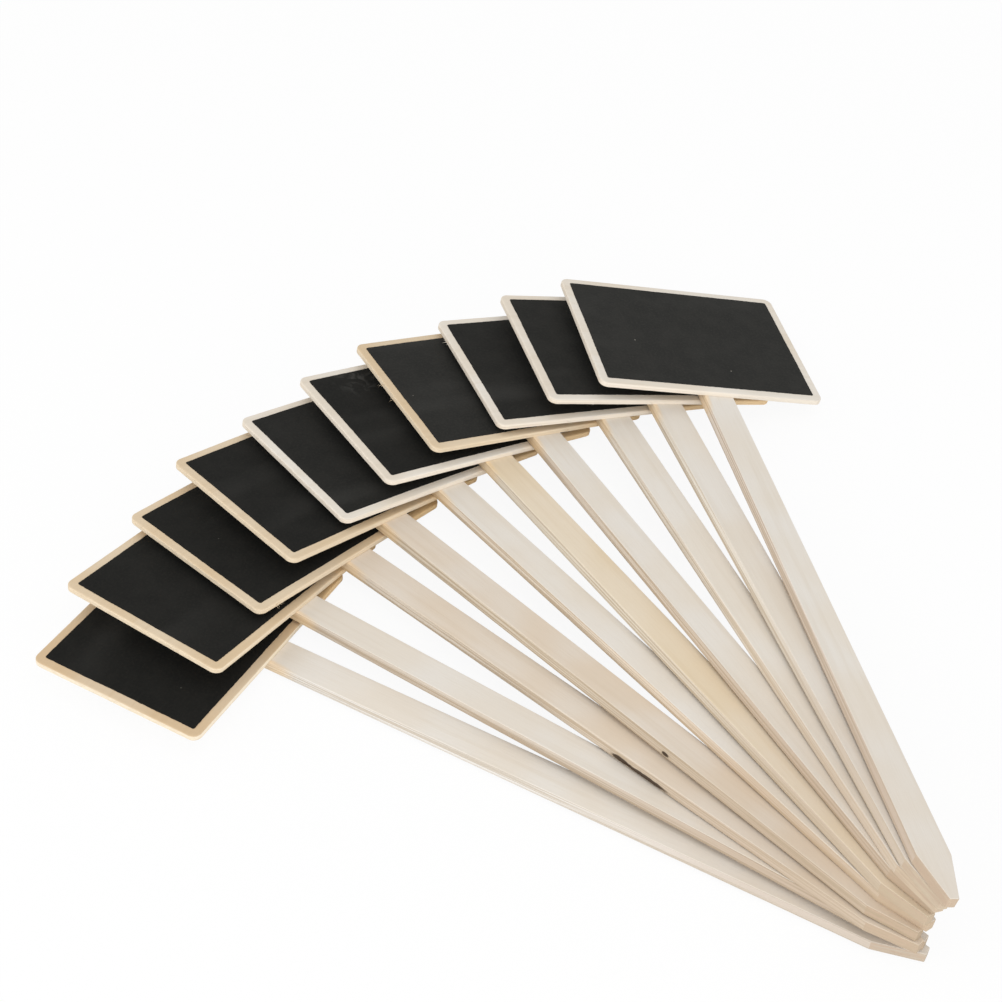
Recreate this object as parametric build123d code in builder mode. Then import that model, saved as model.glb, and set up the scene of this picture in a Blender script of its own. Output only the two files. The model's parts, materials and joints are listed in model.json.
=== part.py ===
from build123d import *
import math
import os
from itertools import combinations

os.makedirs("parts", exist_ok=True)

# A fan of wooden label stakes with blackboard panels. The stakes are laid one on
# another with their points together. All lengths are in millimetres.

# The board: thin wood with rounded corners and a softened front rim
board_width = 100.0
board_height = 74.0
board_thickness = 2.2
board_corner_radius = 3.5
board_rim_easing = 0.5

# The writing face: a coat of blackboard paint with a border of bare wood round it
border_width = 3.4
coat_thickness = 0.2

# The stick: a flat lath glued on the board's back, a little off its middle
stick_width = 13.0
stick_thickness = 4.3
stick_reach = 258.0
stick_top_inset = 8.0
stick_offset = 2.7
stick_edge_easing = 0.3
point_length = 18.0
point_width = 3.5

# The fan, from the lowest stake to the top one. A turn of 0 points a stick straight
# at the viewer. The shares place each tip in stick widths, across and away.
fan_turns = (61.0, 56.5, 48.5, 44.0, 38.5, 33.0, 28.5, 21.5, 16.5, 12.0)
tip_shift_shares = (
    (0.15, 0.1),
    (0.05, 0.2),
    (-0.2, -0.15),
    (-0.25, 0.0),
    (0.0, 0.1),
    (-0.1, 0.05),
    (0.05, 0.2),
    (0.05, 0.0),
    (0.05, -0.15),
    (0.15, -0.3),
)

# Each stake leans on its right-hand side: this is how far across the board's right
# half, and how far up it, the weight that holds the stake down is taken to press.
press_across_share = 0.55
press_up_share = 0.2

# Places along a stake, from the tip on the back of the stick: x across, y up the
# stake and z out of the front
board_low = stick_reach
board_high = stick_reach + board_height
board_left = -board_width / 2 - stick_offset
board_right = board_width / 2 - stick_offset
stick_high = board_high - stick_top_inset
front_height = stick_thickness + board_thickness
face_height = front_height + coat_thickness


def box_outline(left, low, right, high):
    """Corners of an upright rectangle, counter-clockwise."""
    return [(left, low), (right, low), (right, high), (left, high)]


stick_outline = [
    (-point_width / 2, 0.0),
    (point_width / 2, 0.0),
    (stick_width / 2, point_length),
    (stick_width / 2, stick_high),
    (-stick_width / 2, stick_high),
    (-stick_width / 2, point_length),
]
board_outline = box_outline(board_left, board_low, board_right, board_high)
face_outline = box_outline(
    board_left + border_width,
    board_low + border_width,
    board_right - border_width,
    board_high - border_width,
)

# Laying the stakes. A pose is the height of the tip and two angles: the pitch lifts
# the board's end and the roll puts the right-hand side down. Each stake rests on three
# points, found as the lowest pose that leaves every piece of it above the ground and
# above every piece that already lies there.
LAYING_ROUNDS = 12
SMALL_ANGLE = 1e-5
LARGEST_ANGLE = 0.35
LEAST_PLAN_AREA = 0.01
ARC_STEPS = 4
CLOSE_ENOUGH = 1e-8


def stake_plane(place, pose):
    """The plane of a stake's back: place is its tip in plan and its turn."""
    tip_x, tip_y, turn = place
    height, pitch, roll = pose
    across = Vector(math.cos(turn), math.sin(turn), 0)
    level = Vector(-math.sin(turn), math.cos(turn), 0)
    along = level * math.cos(pitch) + Vector(0, 0, math.sin(pitch))
    normal = across.cross(along)
    x_dir = across * math.cos(roll) - normal * math.sin(roll)
    return Plane(origin=(tip_x, tip_y, height), x_dir=x_dir, z_dir=x_dir.cross(along))


def placed(points, plane):
    """Points of a stake as they lie in the fan."""
    origin, right, up, out = plane.origin, plane.x_dir, plane.y_dir, plane.z_dir
    rows = [(origin.X, right.X, up.X, out.X)]
    rows.append((origin.Y, right.Y, up.Y, out.Y))
    rows.append((origin.Z, right.Z, up.Z, out.Z))
    return [tuple(o + r * x + u * y + n * z for o, r, u, n in rows) for x, y, z in points]


def slab_faces(outline, low, high):
    """The faces of a flat piece, each counter-clockwise seen from outside."""
    faces = [[(x, y, high) for x, y in outline]]
    faces.append([(x, y, low) for x, y in reversed(outline)])
    for start, end in zip(outline, outline[1:] + outline[:1]):
        faces.append([(*start, low), (*end, low), (*end, high), (*start, high)])
    return faces


def rounded_corners(outline, radius):
    """Points round a rectangle's outline with its corners rounded."""
    centre_x = sum(x for x, y in outline) / len(outline)
    centre_y = sum(y for x, y in outline) / len(outline)
    points = []
    for x, y in outline:
        side_x = math.copysign(1, x - centre_x)
        side_y = math.copysign(1, y - centre_y)
        for step in range(ARC_STEPS + 1):
            angle = math.radians(90) * step / ARC_STEPS
            arc_x = side_x * radius * (math.cos(angle) - 1)
            arc_y = side_y * radius * (math.sin(angle) - 1)
            points.append((x + arc_x, y + arc_y))
    return points


stake_faces = (
    slab_faces(stick_outline, 0.0, stick_thickness)
    + slab_faces(board_outline, stick_thickness, front_height)
    + slab_faces(face_outline, front_height, face_height)
)
board_rounding = rounded_corners(board_outline, board_corner_radius)
outer_points = [(x, y, 0.0) for x, y in stick_outline]
outer_points += [(x, y, stick_thickness) for x, y in board_rounding]
outer_points += [(x, y, front_height) for x, y in board_rounding]
press_point = (
    board_width / 2 * press_across_share - stick_offset,
    board_low + board_height * press_up_share,
    front_height,
)


def plan_area(face):
    """Area of a face seen from above, negative where its outside looks down."""
    ends = face[1:] + face[:1]
    return sum(a[0] * b[1] - b[0] * a[1] for a, b in zip(face, ends)) / 2


def height_on(face, x, y):
    """Height of a face's plane above a point in plan."""
    start, second, third = face[0], face[1], face[2]
    u = [b - a for a, b in zip(start, second)]
    v = [b - a for a, b in zip(start, third)]
    slope_x = u[1] * v[2] - u[2] * v[1]
    slope_y = u[2] * v[0] - u[0] * v[2]
    upright = u[0] * v[1] - u[1] * v[0]
    return start[2] - (slope_x * (x - start[0]) + slope_y * (y - start[1])) / upright


def plan_overlap(first, second):
    """Corners of the plan area that two convex faces share."""
    corners = [(point[0], point[1]) for point in first]
    for a, b in zip(second, second[1:] + second[:1]):
        sides = [(b[0] - a[0]) * (y - a[1]) - (b[1] - a[1]) * (x - a[0]) for x, y in corners]
        kept = []
        for index, (x, y) in enumerate(corners):
            following = (index + 1) % len(corners)
            if sides[index] >= 0:
                kept.append((x, y))
            if sides[index] * sides[following] < 0:
                share = sides[index] / (sides[index] - sides[following])
                next_x, next_y = corners[following]
                kept.append((x + share * (next_x - x), y + share * (next_y - y)))
        corners = kept
    return corners


def plan_box(face):
    """Smallest and largest x and y of a face."""
    return (
        min(point[0] for point in face),
        max(point[0] for point in face),
        min(point[1] for point in face),
        max(point[1] for point in face),
    )


def boxes_meet(a, b):
    return a[0] < b[1] and b[0] < a[1] and a[2] < b[3] and b[2] < a[3]


def meeting_of(rules):
    """The step at which three rules hold exactly, or None if they never meet."""
    (a, b, c, p), (d, e, f, q), (g, h, i, r) = rules
    whole = a * (e * i - f * h) - b * (d * i - f * g) + c * (d * h - e * g)
    if abs(whole) < CLOSE_ENOUGH:
        return None
    return (
        (p * (e * i - f * h) - b * (q * i - f * r) + c * (q * h - e * r)) / whole,
        (a * (q * i - f * r) - p * (d * i - f * g) + c * (d * r - q * g)) / whole,
        (a * (e * r - q * h) - b * (d * r - q * g) + p * (d * h - e * g)) / whole,
    )


def room(rule, step):
    """How far a step in height, pitch and roll stays above a rule's limit."""
    return rule[0] * step[0] + rule[1] * step[1] + rule[2] * step[2] - rule[3]


def lowest_step(goal, rules):
    """The step that brings the pressed point lowest while every rule holds."""
    angle_rules = [(0.0, sign, 0.0, -LARGEST_ANGLE) for sign in (1.0, -1.0)]
    angle_rules += [(0.0, 0.0, sign, -LARGEST_ANGLE) for sign in (1.0, -1.0)]
    held = angle_rules + [max(rules, key=lambda rule: rule[3])]
    while True:
        meetings = [(meeting_of(three), three) for three in combinations(held, 3)]
        allowed = [
            (room((*goal, 0.0), step), step, three)
            for step, three in meetings
            if step is not None and min(room(rule, step) for rule in held) > -CLOSE_ENOUGH
        ]
        reach, step, three = min(allowed, key=lambda entry: entry[0])
        worst = min(rules, key=lambda rule: room(rule, step))
        if room(worst, step) > -CLOSE_ENOUGH:
            return step
        held = angle_rules + [rule for rule in three if rule not in angle_rules] + [worst]


def resting_pose(place, pose, lying):
    """Settle one stake on the ground and on the faces that already lie there."""
    for laying_round in range(LAYING_ROUNDS):
        height, pitch, roll = pose
        planes = [stake_plane(place, pose)]
        planes.append(stake_plane(place, (height, pitch + SMALL_ANGLE, roll)))
        planes.append(stake_plane(place, (height, pitch, roll + SMALL_ANGLE)))

        def rule(heights, limit):
            still, pitched, rolled = heights
            by_pitch = (pitched - still) / SMALL_ANGLE
            by_roll = (rolled - still) / SMALL_ANGLE
            return (1.0, by_pitch, by_roll, limit - still)

        rules = []
        for tries in zip(*[placed(outer_points, plane) for plane in planes]):
            rules.append(rule([point[2] for point in tries], 0.0))
        for face in stake_faces:
            tries = [placed(face, plane) for plane in planes]
            if plan_area(tries[0]) < -LEAST_PLAN_AREA:
                underside = tries[0][::-1]
                box = plan_box(underside)
                for top, top_box in lying:
                    if boxes_meet(box, top_box):
                        for x, y in plan_overlap(underside, top):
                            heights = [height_on(moved, x, y) for moved in tries]
                            rules.append(rule(heights, height_on(top, x, y)))
        pressed = [placed([press_point], plane)[0][2] for plane in planes]
        step = lowest_step(rule(pressed, 0.0)[:3], rules)
        pose = tuple(value + change for value, change in zip(pose, step))
        if max(abs(change) for change in step) < CLOSE_ENOUGH:
            break
    return pose


def lay_fan():
    """The plane of each stake's back, from the lowest stake to the top one."""
    lying = []
    planes = []
    pose = (0.0, 0.0, 0.0)
    for turn, (across_share, away_share) in zip(fan_turns, tip_shift_shares):
        place = (across_share * stick_width, away_share * stick_width, math.radians(turn))
        pose = resting_pose(place, pose, lying)
        planes.append(stake_plane(place, pose))
        for face in stake_faces:
            top = placed(face, planes[-1])
            if plan_area(top) > LEAST_PLAN_AREA:
                lying.append((top, plan_box(top)))
    # The origin is on the ground under the middle of the whole fan
    outer = [point for plane in planes for point in placed(outer_points, plane)]
    left, right, near, far = plan_box(outer)
    middle = Vector((left + right) / 2, (near + far) / 2, 0)
    return [Plane(plane.origin - middle, plane.x_dir, plane.z_dir) for plane in planes]


def make_stick(plane, name):
    """The flat stick: a lath that narrows to a blunt point at the soil end."""
    with BuildPart() as stick:
        with BuildSketch(plane):
            with BuildLine():
                Polyline(*stick_outline, close=True)
            make_face()
        extrude(amount=stick_thickness)
        outward = Axis(plane.origin, plane.z_dir)
        long_edges = stick.faces().sort_by(outward)[-1].edges().group_by(SortBy.LENGTH)[-1]
        fillet(long_edges, radius=stick_edge_easing)
    stick.part.label = name
    export_step(stick.part, f"parts/{name}.step")


def make_board(plane, name):
    """The board: square to the stick, with round corners and a soft front rim."""
    with BuildPart() as board:
        with BuildSketch(plane.offset(stick_thickness)):
            with Locations(((board_left + board_right) / 2, (board_low + board_high) / 2)):
                RectangleRounded(board_width, board_height, board_corner_radius)
        extrude(amount=board_thickness)
        outward = Axis(plane.origin, plane.z_dir)
        fillet(board.faces().sort_by(outward)[-1].edges(), radius=board_rim_easing)
    board.part.label = name
    export_step(board.part, f"parts/{name}.step")


def make_face_coat(plane, name):
    """The writing face: a sharp-cornered coat inside the border of bare wood."""
    with BuildPart() as face:
        with BuildSketch(plane.offset(front_height)):
            with BuildLine():
                Polyline(*face_outline, close=True)
            make_face()
        extrude(amount=coat_thickness)
    face.part.label = name
    export_step(face.part, f"parts/{name}.step")


# Stake 1 lies lowest and the last one lies on top
for number, plane in enumerate(lay_fan(), start=1):
    make_stick(plane, f"stick_{number:02d}")
    make_board(plane, f"board_{number:02d}")
    make_face_coat(plane, f"writing_face_{number:02d}")
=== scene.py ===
# %% [markdown]
# # A fan of wooden label stakes
#
# Ten little blackboards on flat sticks lie on one another with their points together.
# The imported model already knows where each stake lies. This lesson dresses it: it builds
# each board, its paint and its stick again as a finer mesh in the same place, gives them
# bare wood and blackboard paint, and lights them softly on a white table.

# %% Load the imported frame
import json
import math
import random

import bpy
from mathutils import Matrix, Vector, noise

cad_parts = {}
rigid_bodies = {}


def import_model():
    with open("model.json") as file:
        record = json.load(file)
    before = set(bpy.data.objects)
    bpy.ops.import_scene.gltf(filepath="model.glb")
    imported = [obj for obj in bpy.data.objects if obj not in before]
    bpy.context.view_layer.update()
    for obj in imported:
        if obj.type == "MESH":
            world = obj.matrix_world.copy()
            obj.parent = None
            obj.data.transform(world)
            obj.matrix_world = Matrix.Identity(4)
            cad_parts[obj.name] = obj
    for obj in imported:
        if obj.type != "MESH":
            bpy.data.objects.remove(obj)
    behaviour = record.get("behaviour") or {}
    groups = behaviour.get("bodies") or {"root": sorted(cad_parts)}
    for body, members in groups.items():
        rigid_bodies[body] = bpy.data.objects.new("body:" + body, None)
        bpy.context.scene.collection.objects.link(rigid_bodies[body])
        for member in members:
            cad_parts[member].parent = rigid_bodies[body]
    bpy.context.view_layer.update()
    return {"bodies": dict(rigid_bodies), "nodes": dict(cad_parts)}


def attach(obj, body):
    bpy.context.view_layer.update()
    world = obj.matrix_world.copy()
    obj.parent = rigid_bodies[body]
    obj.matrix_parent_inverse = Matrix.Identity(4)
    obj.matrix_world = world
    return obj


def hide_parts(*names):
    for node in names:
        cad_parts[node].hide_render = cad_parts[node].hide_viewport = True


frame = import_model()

mm = 0.001
tags = sorted(body.split("_")[-1] for body in frame["bodies"])
print("stakes:", tags)

# %% [markdown]
# ## Find how each stake lies
#
# Every stake leans in its own direction, so building it in the world's axes would be
# hard. It is far easier to build all stakes flat in one small frame of their own and
# then turn them: x across the stick, y up the stake from the tip, z out of the front.
# The writing face is a flat box, so one of its big triangles gives all three directions.

# %% Read a stake's own axes from its writing face
def stake_matrix(tag):
    """Turns places on a stake, in metres from the tip on the stick's back, to the world's."""
    face = frame["nodes"][f"writing_face_{tag}"].data
    stick = frame["nodes"][f"stick_{tag}"].data
    largest = max(face.polygons, key=lambda polygon: polygon.area * polygon.normal.z)
    a, b, c = (face.vertices[index].co for index in largest.vertices)
    up = min((b - a, c - b, a - c), key=lambda side: side.length).normalized()
    out = largest.normal.normalized()
    if up.dot(face.vertices[0].co - stick.vertices[0].co) < 0:
        up.negate()
    turn = Matrix((up.cross(out), up, out)).transposed()
    seen = [turn.transposed() @ vertex.co for vertex in stick.vertices]
    middle = (min(p.x for p in seen) + max(p.x for p in seen)) / 2
    tip = Vector((middle, min(p.y for p in seen), min(p.z for p in seen)))
    return Matrix.Translation(turn @ tip) @ turn.to_4x4()


stake_frames = {tag: stake_matrix(tag) for tag in tags}
for tag, matrix in stake_frames.items():
    print(tag, "tip at", [round(value / mm, 1) for value in matrix.translation], "mm")

# %% [markdown]
# ## Read the sizes
#
# All stakes are alike, so the first one is measured in its own frame and every main size
# of the dressed model comes from there. Nothing is typed in twice, and the new plates
# can't grow out of the solids they stand for.

# %% Measure one stake
def own_points(node, tag):
    """A CAD node's corners in its stake's frame."""
    back = stake_frames[tag].inverted()
    return [back @ vertex.co for vertex in frame["nodes"][node].data.vertices]


def own_box(points):
    """Lowest and highest corner of some points."""
    low = Vector([min(p[axis] for p in points) for axis in range(3)])
    high = Vector([max(p[axis] for p in points) for axis in range(3)])
    return low, high


first = tags[0]
stick_points = own_points(f"stick_{first}", first)
stick_low, stick_high = own_box(stick_points)
board_low, board_high = own_box(own_points(f"board_{first}", first))
coat_low, coat_high = own_box(own_points(f"writing_face_{first}", first))
half_stick = stick_high.x
hair = 0.01 * mm
point_length = min(p.y for p in stick_points if abs(p.x) > half_stick - hair)
half_point = max(abs(p.x) for p in stick_points if p.y < hair)
print("board", [round(v / mm, 2) for v in board_high - board_low], "mm")
print("stick", [round(v / mm, 2) for v in stick_high - stick_low], "mm")
print("point", round(point_length / mm, 1), "mm long,", round(2 * half_point / mm, 1), "mm wide")

# %% [markdown]
# ## One way to make every plate
#
# Board, paint and stick are all plates: an outline with a thickness and softened edges.
# A cube with a Bevel modifier would do, but its edges would be too perfect. Here the
# outline is walked in small steps, and rings of points are stacked on it. That leaves
# enough points for the saw and the sandpaper to nibble at. Wear only goes inwards.

# %% Walk round an outline with rounded corners
def rounded_outline(corners, radius, step):
    """Places and outward directions round a convex outline, counter-clockwise."""
    widest_turn = 0.35
    arc_step = step / 2
    walk = []
    for index, corner in enumerate(corners):
        before = (corner - corners[index - 1]).normalized()
        after = (corners[(index + 1) % len(corners)] - corner).normalized()
        turn = math.atan2(before.cross(after), before.dot(after))
        reach = radius * math.tan(turn / 2)
        centre = corner - before * reach + Vector((-before.y, before.x)) * radius
        arc_steps = max(2, round(turn * radius / arc_step), round(turn / widest_turn))
        start = math.atan2(-before.x, before.y)
        for count in range(arc_steps + 1):
            angle = start + turn * count / arc_steps
            outward = Vector((math.cos(angle), math.sin(angle)))
            walk.append((centre + outward * radius, outward))
        ahead = corners[(index + 1) % len(corners)]
        beyond = (corners[(index + 2) % len(corners)] - ahead).normalized()
        next_turn = math.atan2(after.cross(beyond), after.dot(beyond))
        run_start = walk[-1][0]
        run_end = ahead - after * radius * math.tan(next_turn / 2)
        run_steps = max(1, round((run_end - run_start).length / step))
        outward = Vector((after.y, -after.x))
        for count in range(1, run_steps):
            walk.append((run_start.lerp(run_end, count / run_steps), outward))
    return walk


def rectangle(low, high):
    """Four corners, counter-clockwise."""
    places = ((low.x, low.y), (high.x, low.y), (high.x, high.y), (low.x, high.y))
    return [Vector(place) for place in places]


# %% Describe an edge as rings
def plate_levels(low, high, back_easing, front_easing, cap):
    """Pairs of inset and height, from the flat back over the edge to the flat front."""
    burr_left = back_easing * 0.3
    straight = high - front_easing - low - back_easing
    straight_shares = (0.0, 0.35, 0.7, 1.0)
    rim_degrees = (22.5, 45.0, 67.5, 90.0)
    levels = [(cap, low), (back_easing, low), (burr_left, low + burr_left)]
    for share in straight_shares:
        levels.append((0.0, low + back_easing + straight * share))
    for degrees in rim_degrees:
        angle = math.radians(degrees)
        inset = front_easing * (1 - math.cos(angle))
        levels.append((inset, high - front_easing * (1 - math.sin(angle))))
    levels.append((cap, high))
    return levels


# %% Stack the rings into a plate
def plate(name, outline, levels, bite):
    """A closed plate. bite gives how deep wear goes in at a place of the edge."""
    cap = levels[0][0]
    points = []
    for inset, height in levels:
        for place, outward in outline:
            depth = inset if inset == cap else inset + bite(place, height)
            points.append((place.x - outward.x * depth, place.y - outward.y * depth, height))
    count = len(outline)
    faces = [tuple(reversed(range(count)))]
    for level in range(len(levels) - 1):
        for index in range(count):
            low, high = level * count, (level + 1) * count
            following = (index + 1) % count
            faces.append((low + index, low + following, high + following, high + index))
    faces.append(tuple(range(len(points) - count, len(points))))
    mesh = bpy.data.meshes.new(name)
    mesh.from_pydata(points, [], faces)
    mesh.polygons.foreach_set("use_smooth", [True] * len(faces))
    piece = bpy.data.objects.new(name, mesh)
    bpy.context.scene.collection.objects.link(piece)
    return piece


# %% Wear an edge down
def wear(depth, seed, fine=0.9):
    """How deep an edge is worn, from nothing up to depth. fine sets the bumps per mm."""
    start = Vector((seed * 17.3, seed * 5.1, 0))
    coarse = 0.06
    usual = 0.4

    def bite(place, height):
        spot = Vector((place.x, place.y, height)) / mm + start
        slow = 0.5 * noise.noise(spot * coarse)
        quick = 0.45 * noise.noise(spot * fine)
        return depth * min(1.0, max(0.0, usual + slow + quick))
    return bite


corner_wear = wear(1.0, 1)(Vector((0, 0)), 0)
print("at the first corner an edge is worn to", round(corner_wear, 2), "of its full depth")

# %% [markdown]
# ## Shader sums in plain Python
#
# A material is a web of nodes, and sums built by hand from Math nodes are hard to read.
# The class below wraps a socket, so that `grain * 0.4 + patches` writes the Math nodes
# by itself. Any other node comes from the one method `add`. Colours and vectors have
# methods of their own, because a Math node would turn a colour grey.

# %% A socket that can be used in sums
class Wire:
    """One output of a node."""

    def __init__(self, finish, socket):
        self.finish = finish
        self.socket = socket

    def sum(self, operation, first, second):
        """One Math node."""
        return self.finish.add("ShaderNodeMath", {"operation": operation}, {0: first, 1: second})

    def __add__(self, other):
        return self.sum("ADD", self, other)

    def __radd__(self, other):
        return self.sum("ADD", other, self)

    def __sub__(self, other):
        return self.sum("SUBTRACT", self, other)

    def __rsub__(self, other):
        return self.sum("SUBTRACT", other, self)

    def __mul__(self, other):
        return self.sum("MULTIPLY", self, other)

    def __rmul__(self, other):
        return self.sum("MULTIPLY", other, self)

    def __abs__(self):
        return self.sum("ABSOLUTE", self, 0.0)

    def other(self, output):
        """Another output of the same node."""
        return Wire(self.finish, self.socket.node.outputs[output])

    def ramp(self, start, end):
        """0 before start, 1 after end, smooth between them. start may be the larger."""
        low, high = min(start, end), max(start, end)
        sockets = {"Value": self, "From Min": low, "From Max": high}
        settings = {"interpolation_type": "SMOOTHSTEP"}
        rising = self.finish.add("ShaderNodeMapRange", settings, sockets)
        return rising if start < end else 1 - rising


# %% A material that is being mixed
class Finish:
    """The nodes of a new material, or of another owner of nodes."""

    def __init__(self, name, owner=None):
        self.owner = owner or bpy.data.materials.new(name)
        self.owner.use_nodes = True
        self.tree = self.owner.node_tree
        self.tree.nodes.clear()

    def add(self, kind, settings=None, sockets=None, output=0):
        """Adds a node of any type, sets it, feeds it, and gives one of its outputs."""
        node = self.tree.nodes.new(kind)
        for name, value in (settings or {}).items():
            setattr(node, name, value)
        for key, value in (sockets or {}).items():
            if isinstance(value, Wire):
                self.tree.links.new(value.socket, node.inputs[key])
            else:
                node.inputs[key].default_value = value
        return Wire(self, node.outputs[output]) if node.outputs else None

    def mix(self, amount, first, second):
        """The first colour where amount is 0 and the second where it is 1."""
        settings = {"data_type": "RGBA", "clamp_factor": True}
        return self.add("ShaderNodeMix", settings, {0: amount, 6: first, 7: second}, 2)

    def vector(self, operation, first, second):
        """A sum of two vectors, axis by axis."""
        return self.add("ShaderNodeVectorMath", {"operation": operation}, {0: first, 1: second})

    def noise(self, place, scale, detail=2.0, roughness=0.5, distortion=0.0):
        """Soft random patches between 0 and 1, about 1 / scale mm wide."""
        sockets = {"Vector": place, "Scale": scale, "Detail": detail}
        sockets.update({"Roughness": roughness, "Distortion": distortion})
        return self.add("ShaderNodeTexNoise", None, sockets)

    def far_from(self, place, centre, reach=(1.0, 1.0, 1.0)):
        """How far a place is from a centre, in mm or in shares of a reach on each axis."""
        away = self.vector("DIVIDE", self.vector("SUBTRACT", place, centre), reach)
        return self.add("ShaderNodeVectorMath", {"operation": "LENGTH"}, {0: away}, "Value")

    def place_in_mm(self, tag):
        """Places on a stake in millimetres, in the stake's own frame."""
        lie = stake_frames[tag]
        sockets = {"Vector": self.add("ShaderNodeTexCoord", output="Object"), "Scale": (mm, mm, mm)}
        sockets.update({"Location": lie.translation, "Rotation": lie.to_euler()})
        return self.add("ShaderNodeMapping", {"vector_type": "TEXTURE"}, sockets)

    def facing(self, tag):
        """Where the surface looks, in the stake's own frame."""
        sockets = {"Vector": self.add("ShaderNodeTexCoord", output="Normal")}
        sockets["Rotation"] = stake_frames[tag].to_euler()
        turned = self.add("ShaderNodeMapping", {"vector_type": "TEXTURE"}, sockets)
        return self.add("ShaderNodeSeparateXYZ", None, {0: turned})

    def close(self, colour, roughness, height, bump, specular):
        """Ends in one Principled shader with a bump, and gives the material."""
        sockets = {"Height": height, "Strength": 1.0, "Distance": bump}
        relief = self.add("ShaderNodeBump", None, sockets, "Normal")
        sockets = {"Base Color": colour, "Roughness": roughness, "Normal": relief}
        sockets["Specular IOR Level"] = specular
        shader = self.add("ShaderNodeBsdfPrincipled", None, sockets)
        self.add("ShaderNodeOutputMaterial", None, {"Surface": shader})
        return self.owner


# %% Write colours as they look on a screen
def tone(red, green, blue):
    """A colour as it looks on a screen, 0 to 255, as the light values a shader needs."""
    def light(value):
        share = value / 255
        return share / 12.92 if share <= 0.04045 else ((share + 0.055) / 1.055) ** 2.4
    return (light(red), light(green), light(blue), 1.0)


def shaded(colour, shares):
    """A colour that keeps only these shares of its red, green and blue."""
    return tuple(value * share for value, share in zip(colour[:3], shares)) + (1.0,)


print("a middle grey of the screen is", round(tone(128, 128, 128)[0], 3), "in light")

# %% [markdown]
# ## Bare wood
#
# The wood is pale and sanded, so its grain is faint: soft bands, fine fibres along the
# grain, and slow changes from greyish to creamy. The sawn edges are another story. They
# have streaks along the stick and painted shade: they are browner towards the point and
# along the back, where the sticks lie on one another, and darker on the slanting cuts of
# the point, and the front gets a little painted shade towards the point too. The mask for
# them is the surface's own normal, because it holds for every edge at once.
# Normals and places come in the axes of the mesh, so a Mapping node first turns them
# into the stake's own frame, where x, y and z mean something.
#
# Where a stick leaves its board, and at a corner under the next board, bare wood lies in
# shade, and the light bounced between the wood there looks golden. A soft ball of a
# warmer tone round one place paints that golden bounce light with very few nodes.

# %% Name what the wood turns to
# Painted shade: the fronts of the sticks darken to this towards the tip
front_shade_brown = tone(190, 170, 148)
# Painted shade: the sawn sides and the slanting cuts darken to this
side_shade_brown = tone(182, 158, 133)
# Painted golden bounce light, for wood in shade under other wood
bounce_gold = tone(246, 209, 152)
knot_black = tone(48, 32, 18)
grain_shade = (0.86, 0.82, 0.75)
streak_shade = (0.68, 0.61, 0.52)

# Where painted shade sets in and where it is full, in mm above the tip
soiled_stretch = (130.0, 40.0)
side_shade_stretch = (210.0, 20.0)
point_shade_stretch = (150.0, 60.0)

# The same in mm above the stick's back
back_shade_stretch = (1.5, 0.2)
# The sawn sides darken with painted shade towards the tip
print("the sawn sides turn brown from", side_shade_stretch[0], "mm above the tip down")

# %% Name how the grain runs
# Spots per mm across the grain
patch_scale = 0.03
band_scale = 0.32
fibre_scale = 2.4
streak_scale = 0.9

# Where a pattern, which runs from 0 to 1, sets in and where it is full
patch_limits = (0.35, 0.65)
band_limits = (0.45, 0.75)
fibre_limits = (0.45, 0.8)
streak_limits = (0.45, 0.57)

# How strongly it shows
band_strength = 0.25
fibre_strength = 0.22
streak_strength = 0.85
fibre_depth = 0.05 * mm
print("a fibre is about", round(1 / fibre_scale, 2), "mm wide and", fibre_depth / mm, "mm deep")

# %% Name how the sawn sides are found
# A normal's part on an axis is 1 where the surface looks along it and 0 where across it
side_limits = (0.8, 0.4)
slant_limits = (0.12, 0.24)
end_limits = (0.55, 0.8)

# How strongly painted shade darkens the cuts, by where they are
slant_strength = 0.3
lower_strength = 0.25
point_strength = 0.3
back_strength = 0.4
slant_degrees = math.degrees(math.asin(slant_limits[0]))
print("a side counts as slanting from", round(slant_degrees), "degrees on")

# %% Draw a pattern out along the grain
# The smaller the share, the longer the pattern
grain_share = 0.035
streak_share = 0.009
across_streaks = (0.35, 0.35, 1.7)


def drawn_out(along, share, scales=(1.0, 1.0, 1.0)):
    """Scales for a pattern that is long on one axis, the one with the small share."""
    return tuple(share if axis == along else scale for axis, scale in enumerate(scales))


print("streaks along a stick have the scales", drawn_out(1, streak_share, across_streaks))

# %% Paint knots, and golden bounce light in shade, on wood
# A rim reaches out further than its knot, because its distances count for less
rim_share = 0.55
rim_limits = (1.0, 0.5)
rim_strength = 0.4
knot_limits = (1.0, 0.6)
knot_strength = 0.92
bounce_limits = (1.0, 0.3)


def with_knots(wood, colour, place, marks, brown):
    """Adds dark marks with brown rims. All rims come first, so none covers a dark middle."""
    wobble = wood.noise(place, 0.5, 3.0, 0.6) * 0.5 - 0.25
    distances = [wood.far_from(place, centre, reach) for centre, reach in marks]
    for far in distances:
        rim = (far * rim_share + wobble).ramp(*rim_limits)
        colour = wood.mix(rim * rim_strength, colour, brown)
    for far in distances:
        middle = (far + wobble).ramp(*knot_limits)
        colour = wood.mix(middle * knot_strength, colour, knot_black)
    return colour


def with_warmth(wood, colour, place, centre, reach, amount):
    """Paints golden bounce light round a place, where bare wood lies in shade close under other
    wood.
    """
    far = wood.far_from(place, centre, reach)
    return wood.mix(far.ramp(*bounce_limits) * amount, colour, bounce_gold)


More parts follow.
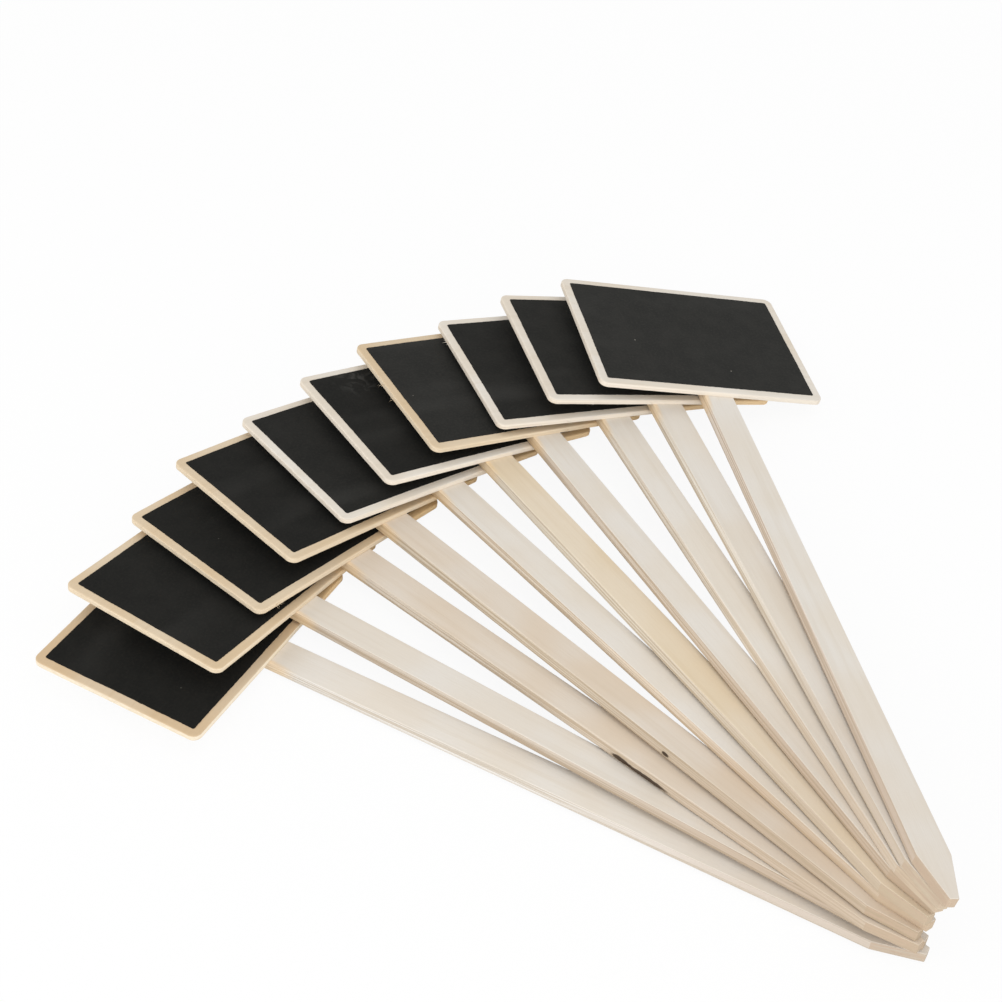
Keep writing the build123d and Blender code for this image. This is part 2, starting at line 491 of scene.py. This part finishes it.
# %% Mix the sanded front
def sanded_front(wood, moved, way_up, along, pale, creamy, soiled):
    """The colour of the front, and the fibres in it."""
    grain = wood.vector("MULTIPLY", moved, drawn_out(along, grain_share))
    bands = wood.noise(grain, band_scale, 1.0)
    fibres = wood.noise(grain, fibre_scale, 2.0, 0.7)
    patches = wood.noise(moved, patch_scale, 1.0)
    darker = shaded(creamy, grain_shade)
    colour = wood.mix(patches.ramp(*patch_limits), pale, creamy)
    colour = wood.mix(bands.ramp(*band_limits) * band_strength, colour, darker)
    colour = wood.mix(fibres.ramp(*fibre_limits) * fibre_strength, colour, darker)
    # Painted shade: the front darkens towards the tip, where the sticks lie close together
    return wood.mix(way_up.ramp(*soiled_stretch) * soiled, colour, front_shade_brown), fibres


# %% Mix the sawn sides
def sawn_side(wood, moved, way_up, end_on, along, sawn, brown, brown_and_shade, fibres):
    """The colour of a sawn side with its painted shade, and the streaks in it."""
    strips = wood.vector("MULTIPLY", moved, drawn_out(along, streak_share, across_streaks))
    streaks = wood.noise(strips, streak_scale, 2.0, 0.6)
    # Painted shade: the slanting cuts of the point, and the sides towards the tip, are darkened
    cut_shade = end_on.ramp(*slant_limits) * slant_strength
    cut_shade = cut_shade + way_up.ramp(*side_shade_stretch) * lower_strength
    cut_shade = cut_shade + way_up.ramp(*point_shade_stretch) * point_strength
    colour = wood.mix(cut_shade * brown_and_shade, sawn, side_shade_brown)
    colour = wood.mix(streaks.ramp(*streak_limits) * (streak_strength * brown_and_shade), colour, brown)
    # Painted shade along the back of the side, where the sticks lie on one another
    back_shade = way_up.other(2).ramp(*back_shade_stretch)
    colour = wood.mix(back_shade * (back_strength * brown_and_shade), colour, brown)
    end_grain = end_on.ramp(*end_limits) * (0.15 + fibres * 0.3)
    return wood.mix(end_grain * brown_and_shade, colour, brown), streaks


# %% Mix bare wood
sanded_roughness = 0.62
wood_gloss = 0.2


def bare_wood(name, tag, pale, creamy, sawn, along, shift, brown_and_shade, warmth, soiled=0.0, marks=()):
    """Bare wood of one piece.

    along is the axis of the grain, brown_and_shade says how brown the sawn sides are from
    their streaks and from painted shade, and soiled how much painted shade darkens the
    front near the tip. warmth is the middle, reach and strength of the painted golden
    bounce light, and marks are the middles and reaches of knots.
    """
    wood = Finish(name)
    place = wood.place_in_mm(tag)
    moved = wood.vector("ADD", place, shift)
    way_up = wood.add("ShaderNodeSeparateXYZ", None, {0: place}, 1)
    front, fibres = sanded_front(wood, moved, way_up, along, pale, creamy, soiled)

    facing = wood.facing(tag)
    end_on = abs(facing.other(along))
    brown = shaded(sawn, streak_shade)
    cut, streaks = sawn_side(wood, moved, way_up, end_on, along, sawn, brown, brown_and_shade, fibres)
    edge = facing.other(2).ramp(*side_limits)
    colour = wood.mix(edge, front, cut)

    # Painted golden bounce light, where the wood lies in shade under other wood
    colour = with_warmth(wood, colour, place, *warmth)
    if marks:
        colour = with_knots(wood, colour, place, marks, brown)
    roughness = sanded_roughness + fibres * 0.18 + edge * 0.08
    relief = fibres + edge * streaks * 1.5
    return wood.close(colour, roughness, relief, fibre_depth, wood_gloss)


# %% [markdown]
# ## Blackboard paint
#
# Blackboard paint is matt and never quite black. A roller leaves a stipple of tiny
# bumps, the coat is a little uneven, wiped chalk leaves a haze, and some grains of dust
# sit on it. Roughness close to 1 keeps the surface from shining.

# %% Name what lies on the paint
chalk_haze = tone(90, 89, 86)
wiped_chalk = tone(96, 95, 92)
pale_dust = tone(124, 121, 113)

# Where a mark sets in and where it is full, in mm from its middle
speck_limits = (0.45, 0.2)
smear_limits = (13.0, 4.0)
chalk_strength = 0.3
print("a smear of chalk is", 2 * smear_limits[0], "mm wide")

# %% Name how the paint lies
# Spots per mm
stipple_scale = 0.9
uneven_scale = 0.11
haze_scale = 0.05
curl_scale = 0.16
dust_scale = 0.09

# How far the haze is drawn out across the board, the way it was wiped
wiping_share = 0.16

# Where a pattern, which runs from 0 to 1, sets in and where it is full
stipple_limits = (0.42, 0.68)
uneven_limits = (0.32, 0.72)
haze_limits = (0.52, 0.8)
curl_limits = (0.42, 0.7)

# One grain of dust may lie in each cell, and only some cells have one
grain_limits = (0.035, 0.015)
chosen_limits = (0.72, 0.74)

# How strongly each one shows
stipple_strength = 0.6
uneven_strength = 0.35
haze_strength = 0.15
dust_strength = 0.6
stipple_depth = 0.05 * mm
print("the roller's stipple is", stipple_depth / mm, "mm deep")

# %% Mix blackboard paint
matt_roughness = 0.78
paint_gloss = 0.15


def blackboard_paint(name, tag, black, worn, shift, specks=(), smears=()):
    """Paint of one board. specks are middles of pale grains, smears of wiped chalk."""
    paint = Finish(name)
    place = paint.place_in_mm(tag)
    moved = paint.vector("ADD", place, shift)
    wiped = paint.vector("MULTIPLY", moved, drawn_out(0, wiping_share))
    stipple = paint.noise(moved, stipple_scale, 3.0, 0.65)
    uneven = paint.noise(moved, uneven_scale, 2.0, 0.6)
    haze = paint.noise(wiped, haze_scale, 1.0)
    colour = paint.mix(uneven.ramp(*uneven_limits) * uneven_strength, black, worn)
    colour = paint.mix(stipple.ramp(*stipple_limits) * stipple_strength, colour, worn)
    colour = paint.mix(haze.ramp(*haze_limits) * haze_strength, colour, chalk_haze)

    near = paint.add("ShaderNodeTexVoronoi", None, {"Vector": moved, "Scale": dust_scale})
    chosen = paint.add("ShaderNodeSeparateColor", None, {0: near.other("Color")})
    dust = near.ramp(*grain_limits) * chosen.ramp(*chosen_limits) * dust_strength
    for centre in specks:
        dust = dust + paint.far_from(place, centre).ramp(*speck_limits)
    for centre in smears:
        curl = paint.noise(moved, curl_scale, 2.0, 0.6, 1.2)
        chalk = curl.ramp(*curl_limits) * paint.far_from(place, centre).ramp(*smear_limits)
        colour = paint.mix(chalk * chalk_strength, colour, wiped_chalk)
    colour = paint.mix(dust, colour, pale_dust)
    roughness = matt_roughness + stipple * 0.14 - uneven * 0.06
    return paint.close(colour, roughness, stipple, stipple_depth, paint_gloss)


# %% [markdown]
# ## The woods in this set
#
# The ten stakes were cut from different strips. Most sticks are greyish cream, two are
# pinkish beige and one is clearly yellow. The boards come in a pale kind and a tan kind,
# and the lowest one is a deeper tan. The kinds are named once here and given out by
# stake, from the lowest stake to the top one.

# %% Name the kinds of wood
greyish = {"pale": tone(233, 227, 218), "creamy": tone(231, 222, 209)}
pinkish = {"pale": tone(228, 217, 203), "creamy": tone(225, 209, 189)}
yellowish = {"pale": tone(234, 220, 198), "creamy": tone(231, 213, 184)}
pale_board = {"pale": tone(235, 228, 217), "creamy": tone(231, 220, 204)}
pale_board["sawn"] = tone(244, 234, 219)
tan_board = {"pale": tone(225, 206, 178), "creamy": tone(220, 196, 162)}
tan_board["sawn"] = tone(238, 221, 194)
deep_tan_board = {"pale": tone(218, 197, 168), "creamy": tone(213, 187, 152)}
deep_tan_board["sawn"] = tone(242, 229, 206)
print("a pale board is", [round(value, 2) for value in pale_board["pale"][:3]], "in light")

# %% Give the woods out by stake
stick_woods = [greyish, greyish, pinkish, pinkish, greyish, yellowish]
stick_woods += [greyish, greyish, greyish, greyish]
board_woods = [deep_tan_board, tan_board, tan_board, tan_board, pale_board, pale_board, tan_board]
board_woods += [pale_board, pale_board, pale_board]

# Each stick's sawn side has its own tone, partly the wood and partly painted shade from the sticks
# that lie close over it
sawn_sides = [(229, 225, 219), (206, 194, 179), (218, 206, 190), (210, 198, 180), (231, 218, 200)]
sawn_sides += [(223, 213, 196), (215, 202, 186), (239, 229, 214), (234, 226, 213), (229, 217, 204)]

# Dark marks in the wood: the stake's tag, the middle and the reach, in mm in its frame
knots = {
    "03": [((-6.5, 121.2, 1.1), (1.4, 5.0, 1.4)), ((-6.5, 110.0, 0.8), (1.4, 12.5, 1.25))],
    "04": [((-6.5, 107.2, 1.2), (1.2, 1.9, 1.0))],
}
print("sticks with knots:", sorted(knots))

# %% [markdown]
# ## The boards
#
# A board is a thin sawn sheet with rounded corners. Its front rim was sanded round and
# its back edge only lost its burr. The fronts are walked in steps of just over 1 mm,
# small enough to show where the saw bit.

# %% Lay a piece where its stake lies
def dress(piece, tag, node, material):
    """Lays a piece where its stake lies, and lets it stand for a CAD node."""
    piece.data.transform(stake_frames[tag])
    piece.data.materials.append(material)
    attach(piece, f"stake_{tag}")
    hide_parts(node)


# %% Build the boards
board_radius = 3.5 * mm
board_step = 1.1 * mm
board_rim = 0.5 * mm
board_burr = 0.12 * mm
board_cap = 1.2 * mm
board_wear = 0.13 * mm
board_seed = 1
board_outline = rounded_outline(rectangle(board_low, board_high), board_radius, board_step)
board_levels = plate_levels(board_low.z, board_high.z, board_burr, board_rim, board_cap)

# The lower right corner gets painted golden bounce light, as it lies in shade under the next board,
# apart from the top board's, which lies in the open
shaded_corner = (board_high.x / mm, board_low.y / mm, board_low.z / mm)
corner_reach = (40.0, 7.0, 20.0)
corner_bounce = 0.75

# From stake to stake the pattern moves on by so many mm, so that no two boards are alike
board_shift = Vector((143.0, 61.0, 29.0))
# The boards' sawn sides get a third of the sticks' brown streaks and painted shade
board_brown_and_shade = 0.3
for number, tag in enumerate(tags):
    bite = wear(board_wear, number + board_seed)
    board = plate(f"board_wood_{tag}", board_outline, board_levels, bite)
    look = dict(board_woods[number], along=0, shift=board_shift * number, brown_and_shade=board_brown_and_shade)
    corner_glow = corner_bounce if tag != tags[-1] else 0.0
    look["warmth"] = (shaded_corner, corner_reach, corner_glow)
    wood = bare_wood(f"board_wood_{tag}", tag, **look)
    dress(board, tag, f"board_{tag}", wood)
print(len(tags), "boards of", len(board.data.vertices), "points")

# %% [markdown]
# ## The writing faces
#
# The paint stops short of the edge all round, so a border of bare wood frames it. It was
# rolled on over a mask, which leaves an edge that is straight but not quite sharp, and
# corners that are only just rounded.

# %% Name each coat's black, partly painted shade
# Each coat's level of black on a screen, from the lowest stake to the top one. The levels are
# partly painted shade: lower coats lie in more shade from the boards above, so they are set darker.
paint_levels = [19, 22, 20, 22, 28, 23, 35, 29, 31, 38]
black_steps = (0, 0, -2)
worn_steps = (13, 12, 9)

# Marks on the paint: the stake's tag and the middles, in mm in its frame
specks = {"10": [(-29.5, 290.0, 6.7), (9.6, 273.7, 6.7)]}
smears = {"06": [(-30.0, 322.0, 6.7)]}


def near_black(level, steps):
    """A level of grey on a screen, moved a little in red, green and blue."""
    return tone(*(level + step for step in steps))


print("levels of black from", min(paint_levels), "to", max(paint_levels), "of 255")

# %% Build the writing faces
coat_radius = 0.9 * mm
coat_step = 0.7 * mm
coat_rim = 0.08 * mm
coat_back = 0.01 * mm
coat_cap = 0.6 * mm
coat_ragged = 0.3 * mm
coat_teeth = 1.3
coat_seed = 31
coat_shift = Vector((211.0, 97.0, 0.0))
coat_outline = rounded_outline(rectangle(coat_low, coat_high), coat_radius, coat_step)
coat_levels = plate_levels(coat_low.z, coat_high.z, coat_back, coat_rim, coat_cap)
for number, tag in enumerate(tags):
    bite = wear(coat_ragged, number + coat_seed, coat_teeth)
    coat = plate(f"blackboard_{tag}", coat_outline, coat_levels, bite)
    black = near_black(paint_levels[number], black_steps)
    worn = near_black(paint_levels[number], worn_steps)
    chalk = {"specks": specks.get(tag, ()), "smears": smears.get(tag, ())}
    paint = blackboard_paint(f"blackboard_{tag}", tag, black, worn, coat_shift * number, **chalk)
    dress(coat, tag, f"writing_face_{tag}", paint)
print(len(tags), "writing faces of", len(coat.data.vertices), "points")

# %% [markdown]
# ## The sticks
#
# A stick is a flat lath, sawn to a blunt point at the soil end. It gets the same plate,
# with an outline of six corners, and its knots are painted where the branch was.

# %% Draw the lath's outline
stick_radius = 0.45 * mm
stick_step = 1.5 * mm
stick_corners = [
    Vector((-half_point, 0)),
    Vector((half_point, 0)),
    Vector((half_stick, point_length)),
    Vector((half_stick, stick_high.y)),
    Vector((-half_stick, stick_high.y)),
    Vector((-half_stick, point_length)),
]
stick_outline = rounded_outline(stick_corners, stick_radius, stick_step)
print("a lath's outline has", len(stick_outline), "points")

# %% Build the sticks
stick_rim = 0.3 * mm
stick_burr = 0.12 * mm
stick_cap = 0.42 * mm
stick_wear = 0.07 * mm
stick_waves = 0.2
stick_seed = 61
stick_shift = Vector((37.0, 389.0, 11.0))
stick_levels = plate_levels(0.0, stick_high.z, stick_burr, stick_rim, stick_cap)

# The left edge gets painted golden bounce light where it comes out from under the board, in its
# shade
under_board = (-half_stick / mm, board_low.y / mm, 0.5 * stick_high.z / mm)
edge_reach = (2.5, 13.0, 9.0)
edge_bounce = 0.45

# The top stake lies in the open, so its front gets less painted shade towards the tip than the
# others
soiled_front = 0.22
soiled_top_front = 0.1
for number, tag in enumerate(tags):
    bite = wear(stick_wear, number + stick_seed, stick_waves)
    stick = plate(f"lath_{tag}", stick_outline, stick_levels, bite)
    look = dict(stick_woods[number], sawn=tone(*sawn_sides[number]), along=1, brown_and_shade=1.0)
    look["shift"] = stick_shift * number
    look["warmth"] = (under_board, edge_reach, edge_bounce)
    look["soiled"] = soiled_front if tag != tags[-1] else soiled_top_front
    look["marks"] = knots.get(tag, ())
    wood = bare_wood(f"lath_{tag}", tag, **look)
    dress(stick, tag, f"stick_{tag}", wood)
print(len(tags), "sticks of", len(stick.data.vertices), "points")

# %% [markdown]
# ## Splinters
#
# The saw left fuzz on the boards: short fibres that stand off the edge, most of them too
# small to notice and a few in tufts. Each fibre is a thin bent cone with three sides.
# A particle system could grow them, but a plain mesh is exported as it is.

# %% Shape one fibre
fibre_rings = 4
fibre_sides = 3


def add_fibre(points, faces, root, outward, length, thickness, bend):
    """Adds a spike of a few rings that tapers and bends sideways on its way out."""
    side = outward.cross(Vector((0, 0, 1))).normalized()
    rise = outward.cross(side)
    first_point = len(points)
    for ring in range(fibre_rings):
        share = ring / fibre_rings
        spine = root + outward * length * share + bend * length * share ** 2
        radius = thickness * (1 - share) / 2
        for corner in range(fibre_sides):
            angle = math.tau * corner / fibre_sides
            points.append(spine + side * math.cos(angle) * radius + rise * math.sin(angle) * radius)
    points.append(root + outward * length + bend * length)
    end = len(points) - 1
    for ring in range(fibre_rings):
        for corner in range(fibre_sides):
            here = first_point + ring * fibre_sides + corner
            beside = first_point + ring * fibre_sides + (corner + 1) % fibre_sides
            if ring < fibre_rings - 1:
                faces.append((here, beside, beside + fibre_sides, here + fibre_sides))
            else:
                faces.append((here, beside, end))
    faces.append(tuple(reversed(range(first_point, first_point + fibre_sides))))


spike_points, spike_faces = [], []
add_fibre(spike_points, spike_faces, Vector(), Vector((1, 0, 0)), 1.0, 0.1, Vector())
print("one fibre has", len(spike_points), "points and", len(spike_faces), "faces")

# %% Find places on a board's edge
def board_edge(side, way):
    """A place on the board's left or lower edge, way metres from the lower left corner."""
    if side == "left":
        return Vector((board_low.x, board_low.y + way)), Vector((-1, 0))
    return Vector((board_low.x + way, board_low.y)), Vector((0, -1))


def scattered(chance, spreads):
    """A random vector near zero, with its own spread on each axis."""
    return Vector([chance.gauss(0, spread) for spread in spreads])


# Tufts by stake: the edge, the way along it in mm, and how many fibres stand together
tufts = {
    "07": [("left", 36.0, 7), ("left", 46.0, 6), ("low", 62.0, 4)],
    "08": [("left", 60.0, 4), ("low", 8.0, 5), ("low", 30.0, 4)],
    "03": [("low", 9.0, 5)],
    "09": [("low", 20.0, 4), ("low", 44.0, 3)],
    "10": [("low", 33.0, 3)],
}
print("tufts on the boards", sorted(tufts))

# %% Choose where fibres stand and how long they are
fuzz_seed = 5
single_runs = [("low", 12, (5, 92)), ("left", 8, (5, 69))]
single_sizes = (0.25, 0.6)
tuft_sizes = (0.9, 2.1)
tuft_spread = 0.9


def chosen_roots(chance, tag):
    """Places along a board's edges, and how far a fibre stands off there, all in mm."""
    roots = []
    for side, many, run in single_runs:
        roots += [(side, chance.uniform(*run)) for _ in range(many)]
    sizes = [chance.uniform(*single_sizes) for _ in roots]
    for side, way, many in tufts.get(tag, ()):
        for _ in range(many):
            roots.append((side, way + chance.gauss(0, tuft_spread)))
            sizes.append(chance.uniform(*tuft_sizes))
    return roots, sizes


print("fibres stand off by up to about", tuft_sizes[1], "mm")

# %% Put the fuzz where the saw left it
root_depth = 0.3
root_heights = (0.1, 0.75)
tilt_spreads = (0.5, 0.5, 0.25)
bend_spreads = (0.3, 0.3, 0.2)
board_thickness = board_high.z - board_low.z
for number, tag in enumerate(tags):
    chance = random.Random(number + fuzz_seed)
    roots, sizes = chosen_roots(chance, tag)
    points, faces = [], []
    for (side, way), size in zip(roots, sizes):
        place, away = board_edge(side, way * mm)
        height = board_low.z + chance.uniform(*root_heights) * board_thickness
        place = place - away * (root_depth * mm)
        tilt = scattered(chance, tilt_spreads)
        outward = (Vector((away.x, away.y, 0)) + tilt * 0.5).normalized()
        bend = scattered(chance, bend_spreads)
        length = (size + root_depth) * mm
        thickness = (0.12 + size * 0.08) * mm
        add_fibre(points, faces, Vector((*place, height)), outward, length, thickness, bend)
    mesh = bpy.data.meshes.new(f"fuzz_{tag}")
    mesh.from_pydata(points, [], faces)
    mesh.transform(stake_frames[tag])
    mesh.materials.append(bpy.data.materials[f"board_wood_{tag}"])
    fuzz = bpy.data.objects.new(f"fuzz_{tag}", mesh)
    bpy.context.scene.collection.objects.link(fuzz)
    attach(fuzz, f"stake_{tag}")
print("fibres on the last board:", len(roots))

# %% [markdown]
# ## The table and the air round it
#
# The stakes lie on a white table. For the camera, most of the table and all of the air
# shine with strength 1, which is white. The rest of the table is lit as it is, so that
# the stakes keep their shadow on it.

# %% Make the white table
def seen_directly(finish):
    """1 for a ray that the camera sees straight, in a mirror or through glass."""
    names = ("Is Camera Ray", "Is Glossy Ray", "Is Transmission Ray")
    straight, mirrored, through = (finish.add("ShaderNodeLightPath", output=name) for name in names)
    return (straight + mirrored + through).ramp(0.0, 1.0)


pure_white = (1.0, 1.0, 1.0, 1.0)
table_white = (0.92, 0.92, 0.92, 1.0)
shining_share = 0.92
table_finish = Finish("white_table")
shine = table_finish.add("ShaderNodeEmission", None, {"Color": pure_white, "Strength": 1.0})
sockets = {"Base Color": table_white, "Roughness": 0.9, "Specular IOR Level": 0.1}
matt = table_finish.add("ShaderNodeBsdfPrincipled", None, sockets)
share = seen_directly(table_finish) * shining_share
both = table_finish.add("ShaderNodeMixShader", None, {0: share, 1: matt, 2: shine})
table_finish.add("ShaderNodeOutputMaterial", None, {"Surface": both})

# %% Lay the table under the stakes
table_mesh = bpy.data.meshes.new("table")
reach = 4.0
corners = [(-reach, -reach, 0), (reach, -reach, 0), (reach, reach, 0), (-reach, reach, 0)]
table_mesh.from_pydata(corners, [], [(0, 1, 2, 3)])
table_mesh.materials.append(table_finish.owner)
table_finish.owner.cycles.emission_sampling = "NONE"
table = bpy.data.objects.new("table", table_mesh)
bpy.context.scene.collection.objects.link(table)
print("the table is", 2 * reach, "m wide")

# %% Fill the air with even light
air_level = 0.7
world = bpy.data.worlds.new("air")
bpy.context.scene.world = world
air = Finish("air", world)
strength = air_level + seen_directly(air) * (1.0 - air_level)
glow = air.add("ShaderNodeBackground", None, {"Color": pure_white, "Strength": strength})
air.add("ShaderNodeOutputWorld", None, {"Surface": glow})
world.cycles.sampling_method = "NONE"
print("the air lights the stakes with strength", air_level)

# %% [markdown]
# ## Soft lamps
#
# A big lamp close by gives soft shadows. How strong must it be? A matt white sheet looks
# white when the light on it adds up to 1. A lamp of P watts at a distance d gives a sheet
# that faces it P / (pi * d) ** 2, so the power follows from the share it should give.

# %% Hang the lamps
def soft_lamp(name, place, size, share):
    """A square lamp that looks at the middle of the fan and gives it a share of the light."""
    target = Vector((0, 0, 0.02))
    distance = (Vector(place) - target).length
    lamp = bpy.data.lights.new(name, "AREA")
    lamp.size = size
    lamp.energy = share * (math.pi * distance) ** 2
    holder = bpy.data.objects.new(name, lamp)
    holder.location = place
    holder.rotation_euler = (target - Vector(place)).to_track_quat("-Z", "Y").to_euler()
    bpy.context.scene.collection.objects.link(holder)
    print(name, "gives", share, "with", round(lamp.energy, 1), "W")


soft_lamp("key_lamp", place=(0.3, -0.3, 1.5), size=1.2, share=0.2)
soft_lamp("left_lamp", place=(-0.8, -0.3, 0.35), size=0.8, share=0.3)
soft_lamp("front_lamp", place=(0.25, -1.0, 0.25), size=0.7, share=0.35)

# %% [markdown]
# ## The camera
#
# The picture is taken from the tips' side, looks down at about 48 degrees and is turned
# by a tenth of a degree. The lens is long, so the fan keeps its shape. Lens and distance
# go together: nearer with a wider lens would make the tips look large and the boards
# small.

# %% Place the camera
look_down = math.radians(47.69)
camera_distance = 767.9 * mm
camera_roll = math.radians(0.1)
looked_at = Vector((13.84, 32.7, 15.0)) * mm
picture_width = 1002
focal_in_pixels = 1942.6
camera_data = bpy.data.cameras.new("camera")
camera_data.sensor_width = 36.0
camera_data.lens = focal_in_pixels / picture_width * camera_data.sensor_width
camera_data.clip_start = 0.01
camera = bpy.data.objects.new("camera", camera_data)
back = Vector((0, -math.cos(look_down), math.sin(look_down)))
camera.location = looked_at + back * camera_distance
camera.rotation_euler = (-back).to_track_quat("-Z", "Y").to_euler()
camera.rotation_euler.rotate_axis("Z", camera_roll)
bpy.context.scene.collection.objects.link(camera)
bpy.context.scene.camera = camera
bpy.context.scene.view_settings.view_transform = "Standard"
print("lens", round(camera_data.lens, 1), "mm")
